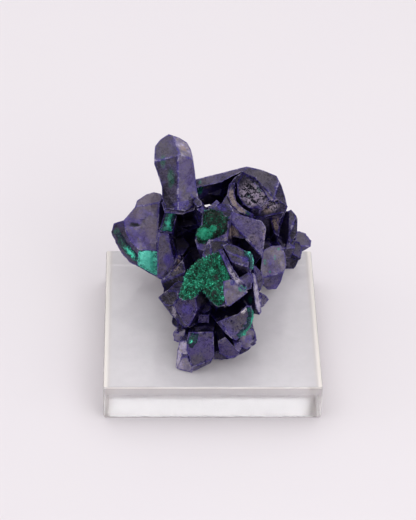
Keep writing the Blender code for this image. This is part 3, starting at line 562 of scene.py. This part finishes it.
solid = copied("azurite_crystals", "azurite_solid")
ridges, creases = seams(solid)
crystals = copied("azurite_crystals", "azurite_cluster")
toned(crystals)
divided(crystals, IN_FRONT, coarser_behind)
bm = opened(crystals)
places = [(v.co.copy(), v.normal.copy()) for v in bm.verts]
bm.free()
points = [point for point, _ in places]
noted(crystals, "ridge", closeness(points, ridges, 0.7))
noted(crystals, "crease", closeness(points, creases, 0.9))
noted(crystals, "hollow", walled_in(places, solid, 9.0))
noted(crystals, "pit", weathered(
    crystals, chip=0.24, swell=0.05,
    etched=[(Vector((10.6, 17.0, 33.2)), 4.6, 0.80, 0.5), (Vector((14.6, 17.0, 30.6)), 2.6, 0.80, 0.4)],
    dents=[((-18.3, 15.0, 25.7), (2.2, 0.9, 0.6), 0.4)]))
only(crystals)
bpy.ops.object.shade_smooth_by_angle(angle=math.radians(20.0))

# The paint reads four grains, from broad mottle to fine dust, and the tone, ridges and pits of the mesh. Its specks
# are stronger in front than behind, and they and the violet fade on the pale faces.
azurite = Paint("azurite", IOR=1.73, Specular_Tint=(0.88, 0.79, 1.0))
mottle = azurite.grain(0.50, 6.0, 0.68)
cloud = azurite.grain(1.3, 5.0, 0.70)
speck = azurite.grain(2.1, 3.0, 0.75)
dust = azurite.grain(2.7, 2.0, 0.65)
pit, ridge = azurite.note("pit"), azurite.note("ridge")
depth = azurite.node("SeparateXYZ", {}, {0: azurite.place}, out="Y")
rough = azurite.between(depth, 14.0, 2.0) * 0.7 + 0.3
face = azurite.note("tone")
dusky = azurite.between(face, 0.80, 0.60) * 0.7 + 0.3
clean = azurite.between(face, 0.80, 0.66) * 0.85 + 0.15
tone = face + (mottle - 0.5) * 0.8 + (speck - 0.5) * rough * dusky * 0.9
colour = azurite.node("ValToRGB", {"stops": SHADES}, {"Fac": tone})
olive = azurite.between(cloud, 0.50, 0.62) * 0.8
violet = azurite.between(azurite.grain(0.22, 4.0, 0.6), 0.50, 0.60) * clean
tinting = {"data_type": "RGBA", "blend_type": "MULTIPLY"}
for share, tint in [(olive, (1.2, 1.2, 0.60)), (violet, (0.82, 0.70, 1.8))]:
    colour = azurite.node("Mix", tinting, {0: share, 6: colour, 7: tint}, out=2)
for shade, share, where in PATCHES:
    colour = azurite.mix(azurite.patches(where) * azurite.between(speck, 0.34, 0.52) * share, colour, shade)
colour = azurite.mix(azurite.between(speck, 0.55, 0.61) * rough * dusky * 0.9, colour, DEEP_BLUE)

# Furrows wind across the etched face.
bent = azurite.node("TexNoise", {}, {"Vector": azurite.place, "Scale": 0.8, "Detail": 3.0}, out="Color")
bent = azurite.vector("MULTIPLY_ADD", bent, (2.4, 2.4, 2.4), azurite.place)
furrow = azurite.node("TexVoronoi", {"feature": "DISTANCE_TO_EDGE"}, {"Vector": bent, "Scale": 0.62}, out="Distance")
pit = pit.either(azurite.between(furrow + (speck - 0.5) * 0.5, 0.13, 0.02) * azurite.patches(ETCHED) * 0.9)
colour = azurite.mix(azurite.between(pit, 0.1, 0.6), colour, PIT_DARK)
# Deep blue along some ridges is a painted glow of light through the thin edges.
colour = azurite.mix(azurite.between(ridge * 0.45 + cloud, 0.68, 0.90) * 0.85, colour, PAINTED_EDGE_GLOW)
# Pale lilac along other edges is a painted highlight.
painted_edge_highlight = azurite.between(ridge * 0.4 + mottle + (dust - 0.5) * 0.4, 0.84, 0.96)
colour = azurite.mix(painted_edge_highlight * 0.8, colour, PAINTED_EDGE_HIGHLIGHT)
azurite.set("Base Color", colour)
azurite.set("Roughness", 0.14 + tone * 0.12 + speck * 0.22 + pit * 0.3)

# Low growth steps, broad and fine, under the specks and the striae.
striae = azurite.grain(2.2, 3.0, 0.6, stretch=(1.0, 0.16, 0.16))
relief = azurite.bump(azurite.shingled(0.30), 0.36, 1.0)
relief = azurite.bump(azurite.shingled(1.3) * rough, 0.50, 1.0, relief)
relief = azurite.bump(speck * rough, 0.36, 0.8, relief)
azurite.set("Normal", azurite.bump(striae, 0.10, 0.5, relief))

# A dark, dull shader lies over the etched pits and the dark specks, and as painted shade over the hollows, the
# creases between the crystals, the listed black spots and the darkest faces.
hollow = azurite.note("hollow")
shut = azurite.between(hollow, 0.50, 0.78)
crease = azurite.between(azurite.note("crease") + (speck - 0.5) * 0.9, 0.5, 0.9)
shut = shut.either(crease * azurite.between(hollow, 0.12, 0.42) * 0.85)
shut = shut.either(azurite.patches(PAINTED_SHADE_SPOTS, 0.45) * 0.96).either(azurite.between(pit, 0.2, 0.8) * 0.85)
dotted = azurite.between(azurite.grain(0.28, 3.0), 0.42, 0.56) * 0.75 + 0.25
shut = shut.either(azurite.between(cloud * 0.5 + speck * 0.5, 0.50, 0.59) * rough * dusky * dotted)
shut = shut.either(azurite.between(tone, 0.46, 0.08) * 0.8)
black = azurite.node("BsdfPrincipled", {}, {
    "Base Color": azurite.mix(0.25, PAINTED_SHADE_BLACK, colour), "Roughness": 0.45, "IOR": 1.2})
azurite.layer(shut, black)
azurite.wear(crystals)
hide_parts("azurite_crystals")
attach(crystals, "root")


# The small crystals
#
# Later azurite that settled in the corners between the large crystals: some four hundred short prisms, wedges and
# blades, half sunk in them.

def cut_prism(name, sides, squash, cuts):
    """A short prism a millimetre long, flattened, with its end cut to a roof."""
    bpy.ops.object.select_all(action="DESELECT")
    bpy.ops.mesh.primitive_cylinder_add(vertices=sides, radius=0.5 * MM, depth=1.2 * MM)
    made = bpy.context.object
    made.name = name
    bpy.ops.object.mode_set(mode="EDIT")
    bpy.ops.transform.resize(value=(1.0, squash, 1.0))
    for place, facing in cuts:
        bpy.ops.mesh.select_all(action="SELECT")
        bpy.ops.mesh.bisect(plane_co=Vector(place) * MM, plane_no=facing, clear_outer=True, use_fill=True)
    bpy.ops.object.mode_set(mode="OBJECT")
    return made


def sprinkled(name, pattern, places):
    """One piece with a copy of the pattern at each place. The pattern itself is taken away."""
    shape = np.array([v.co for v in pattern.data.vertices])
    faces = [list(f.vertices) for f in pattern.data.polygons]
    points, joined = [], []
    for number, place in enumerate(places):
        turned = np.array(place.to_3x3())
        points.append(shape @ turned.T + np.array(place.translation))
        joined += [[corner + number * len(shape) for corner in face] for face in faces]
    mesh = bpy.data.meshes.new(name)
    mesh.from_pydata(np.concatenate(points).tolist(), [], joined)
    made = bpy.data.objects.new(name, mesh)
    bpy.context.scene.collection.objects.link(made)
    bpy.data.objects.remove(pattern)
    return made


def standing(point, normal, lean, size, chance):
    """A place for one small crystal or needle: sunk in at a point, leaning off the normal by chance, this large."""
    off = Vector([chance.gauss(0.0, lean) for _ in range(3)])
    turn = (normal + off).normalized().to_track_quat("Z", "Y").to_matrix().to_4x4()
    spin = Matrix.Rotation(chance.uniform(0.0, math.tau), 4, "Z")
    return Matrix.Translation(point) @ turn @ spin @ Matrix.Diagonal((*size, 1.0))


# They are tried in this many places at most, where a crease is deep and lies above the square, and grow there if
# it is neither open nor shut in.
DEEP = math.radians(38.0)
MOST = 900
OPEN, SHUT_IN = 0.42, 0.85
# Every small crystal counts as this hollow, so part of the cluster's painted shade lies over all of them.
NOOK = 0.6

chance = random.Random(11)
hollows = [(point, normal) for point, normal, angle in creases if angle < -DEEP and point.z > 11.0 * MM]
hollows = chance.sample(hollows, min(MOST, len(hollows)))
settled = {"prism": [], "wedge": [], "blade": []}
for (point, normal), shut in zip(hollows, walled_in(hollows, solid, 6.0)):
    if OPEN < shut < SHUT_IN:
        kind = chance.choice(list(settled))
        size = chance.uniform(0.3, 1.0)
        stretch = (size, size * chance.uniform(0.6, 1.0), size * chance.uniform(0.7, 1.3))
        settled[kind].append(standing(point, normal, 0.35, stretch, chance))
patterns = {
    "prism": cut_prism("prism", 6, 0.7, [((0.2, 0, 0.45), (0.7, 0.1, 0.7)), ((-0.3, 0, 0.5), (-0.8, 0.2, 0.6))]),
    "wedge": cut_prism("wedge", 5, 0.8, [((0.0, 0, 0.35), (0.5, 0.5, 0.8)), ((0, -0.25, 0.4), (0.1, -0.9, 0.5))]),
    "blade": cut_prism("blade", 6, 0.32, [((0.2, 0, 0.35), (0.8, 0.0, 0.6))])}
for kind, spots in settled.items():
    small = sprinkled("azurite_small_" + kind, patterns[kind], spots)
    noted(small, "hollow", [NOOK] * len(small.data.vertices))
    corners = len(small.data.vertices) // len(spots)
    tones = chance.choices((0.1, 0.3, 0.5, 0.8), k=len(spots))
    noted(small, "tone", [tone for tone in tones for _ in range(corners)])
    azurite.wear(small)
    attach(small, "root")


# The malachite crusts
#
# Malachite grew over the azurite in thin skins. The two emerald ones in front are a velvet of tiny glittering
# needles, and the pale ones at the left and along the seams are finer and waxy.

EMERALD_DARK = (0.0004, 0.014, 0.010)
EMERALD = (0.008, 0.275, 0.150)
EMERALD_BRIGHT = (0.14, 1.0, 0.66)
BARE_BLUE = (0.010, 0.010, 0.050)
BARE_GREY = (0.040, 0.042, 0.050)

# How far a crust's solid turns at its rim, and how long an edge of its skin's mesh may be, in millimetres.
RIM_TURN = math.radians(55.0)
SKIN_EDGE = 0.30


def green(name, dark, middle, bright, rough, lit=(), sparse=()):
    """Malachite of one shade: dark between its needles, brighter in tufts and at the tips that catch light. It is
    brighter still in the lit places, thin at its rim, and lets the azurite through in the sparse places."""
    paint = Paint(name, IOR=1.45)
    tufts = paint.grain(0.7, 5.0, 0.65)
    if lit:
        tufts = tufts + paint.patches(lit) * 0.5
    grains = paint.grain(4.0, 3.0, 0.6)
    glint = paint.note("glint")
    colour = paint.mix(paint.between(tufts + glint * 0.3 + (grains - 0.5) * 0.8, 0.44, 0.70), dark, middle)
    tips = paint.between(glint + (tufts - 0.5) * 1.8 + (grains - 0.5) * 0.8, 0.50, 0.76)
    colour = paint.mix(tips, colour, bright)
    ragged = paint.grain(1.1, 4.0, 0.7)
    bare = paint.between(paint.note("thin") + (ragged - 0.5) * 2.4, 0.75, 1.0)
    colour = paint.mix(bare * 0.9, colour, BARE_BLUE)
    if sparse:
        gaps = paint.patches(sparse) * paint.between(ragged, 0.44, 0.56) * 0.9
        colour = paint.mix(gaps, colour, BARE_GREY)
    paint.set("Base Color", colour)
    paint.set("Roughness", rough + grains * 0.25)
    paint.set("Normal", paint.bump(grains, 0.10, 0.6))
    return paint


def skin(node, name, relief, worn):
    """A crust with its solid's outline, let down on to the azurite, thinned towards its rim and made lumpy."""
    made = copied(node, name)
    rims = [point for point in seams(made)[0] if point[2] > RIM_TURN]
    divided(made, SKIN_EDGE)
    bm = opened(made)
    targets = []
    thin = closeness([v.co for v in bm.verts], rims, 0.9)
    for v, share in zip(bm.verts, thin):
        hit, place, _, _ = crystals.ray_cast(v.co, v.normal, distance=1.1 * MM)
        p = v.co / MM
        lumps = relief * (0.25 + 0.75 * noise.noise(p * 0.9) + 0.4 * noise.noise(p * 2.3))
        target = place + v.normal * 0.1 * MM if hit else v.co - v.normal * max(lumps, -0.05) * MM
        _, ground, facing, _ = crystals.closest_point_on_mesh(target)
        sunk = min(share * (0.9 + 0.8 * noise.noise(p * 1.7)), 0.9)
        targets.append(target.lerp(ground + facing * 0.05 * MM, max(sunk, 0.0)))
    closed(made, bm, targets)
    noted(made, "thin", [share * worn for share in thin])
    only(made)
    bpy.ops.object.shade_smooth()
    return made


def over(piece, count, chance):
    """Places spread evenly over a piece's faces by chance, where they look away from the azurite."""
    mesh = piece.data
    areas = [f.area for f in mesh.polygons]
    found = []
    for f in chance.choices(mesh.polygons, weights=areas, k=count):
        a, b, c = (mesh.vertices[i].co for i in f.vertices[:3])
        s, t = sorted((chance.random(), chance.random()))
        point = a * s + b * (t - s) + c * (1 - t)
        if not crystals.ray_cast(point + f.normal * 0.05 * MM, f.normal, distance=1.0 * MM)[0]:
            found.append((point, f.normal.copy()))
    return found


def needle():
    """A blunt four-sided needle, a millimetre long."""
    bpy.ops.object.select_all(action="DESELECT")
    bpy.ops.mesh.primitive_cone_add(vertices=4, radius1=0.5 * MM, radius2=0.16 * MM, depth=1.0 * MM)
    made = bpy.context.object
    made.name = "needle"
    bpy.ops.object.mode_set(mode="EDIT")
    bpy.ops.transform.translate(value=(0, 0, 0.35 * MM))
    bpy.ops.object.mode_set(mode="OBJECT")
    return made


emerald = green("emerald_malachite", EMERALD_DARK, EMERALD, EMERALD_BRIGHT, 0.35, [((-5.2, -17.9, 17.0), 0.5)], [
    ((0.3, -12.9, 31.8), 0.8), ((1.0, -14.2, 30.6), 1.0), ((1.0, -15.2, 29.6), 1.0), ((0.2, -15.6, 29.2), 0.8)])
druse = green("dark_malachite", (0.0004, 0.005, 0.004), (0.003, 0.045, 0.028), (0.024, 0.38, 0.23), 0.35, [
    ((-1.9, 1.0, 34.0), 1.8), ((0.2, 2.2, 34.6), 0.9)])
edging = green("teal_malachite", (0.002, 0.035, 0.030), (0.010, 0.14, 0.10), (0.07, 0.70, 0.48), 0.40, [
    ((-19.5, 11.8, 19.0), 2.4)])
mint = green("mint_malachite", (0.080, 0.55, 0.43), (0.16, 0.78, 0.62), (0.30, 0.88, 0.74), 0.45)
bright = green("bright_malachite", (0.006, 0.14, 0.10), (0.045, 0.52, 0.36), (0.16, 0.90, 0.66), 0.40)

# Each crust: its solid, its malachite, how lumpy it is, how worn its rim is, how many needles of what size it
# carries, and how far these lie over downhill.
CRUSTS = [("front_crust", emerald, 0.35, 0.8, 8500, 0.42, 0.9), ("centre_crust", druse, 0.30, 0.9, 2600, 0.38, 0.6),
          ("left_foot", mint, 0.12, 0.9, 900, 0.16, 0.0), ("left_edge", edging, 0.12, 1.1, 250, 0.20, 0.0),
          ("left_notch", bright, 0.12, 1.15, 200, 0.18, 0.0), ("right_rim", bright, 0.15, 1.25, 350, 0.18, 0.0),
          ("lower_spot", emerald, 0.05, 1.3, 140, 0.22, 0.0), ("ridge_seam", mint, 0.10, 1.6, 140, 0.15, 0.0),
          ("back_crust", emerald, 0.20, 1.0, 900, 0.30, 0.5)]

chance = random.Random(5)
for crust, paint, relief, worn, count, size, lie in CRUSTS:
    base = skin("malachite_" + crust, crust + "_skin", relief, worn)
    paint.wear(base)
    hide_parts("malachite_" + crust)
    places = []
    for point, normal in over(base, count, chance):
        downhill = Vector((0.0, 0.0, -1.0)) + normal * normal.z
        long = size * chance.uniform(0.7, 2.1)
        wide = size * chance.uniform(0.3, 0.6)
        places.append(standing(point, (normal + downhill * lie).normalized(), 0.4, (wide, wide * 0.7, long), chance))
    pattern = needle()
    along = [1.0 if v.co.z > 0.3 * MM else 0.3 for v in pattern.data.vertices]
    needles = sprinkled(crust + "_needles", pattern, places)
    shine = [chance.random() ** 1.8 for _ in places]
    noted(needles, "glint", [one * here for one in shine for here in along])
    paint.wear(needles)
    for piece in (base, needles):
        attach(piece, "root")

bpy.data.objects.remove(solid)
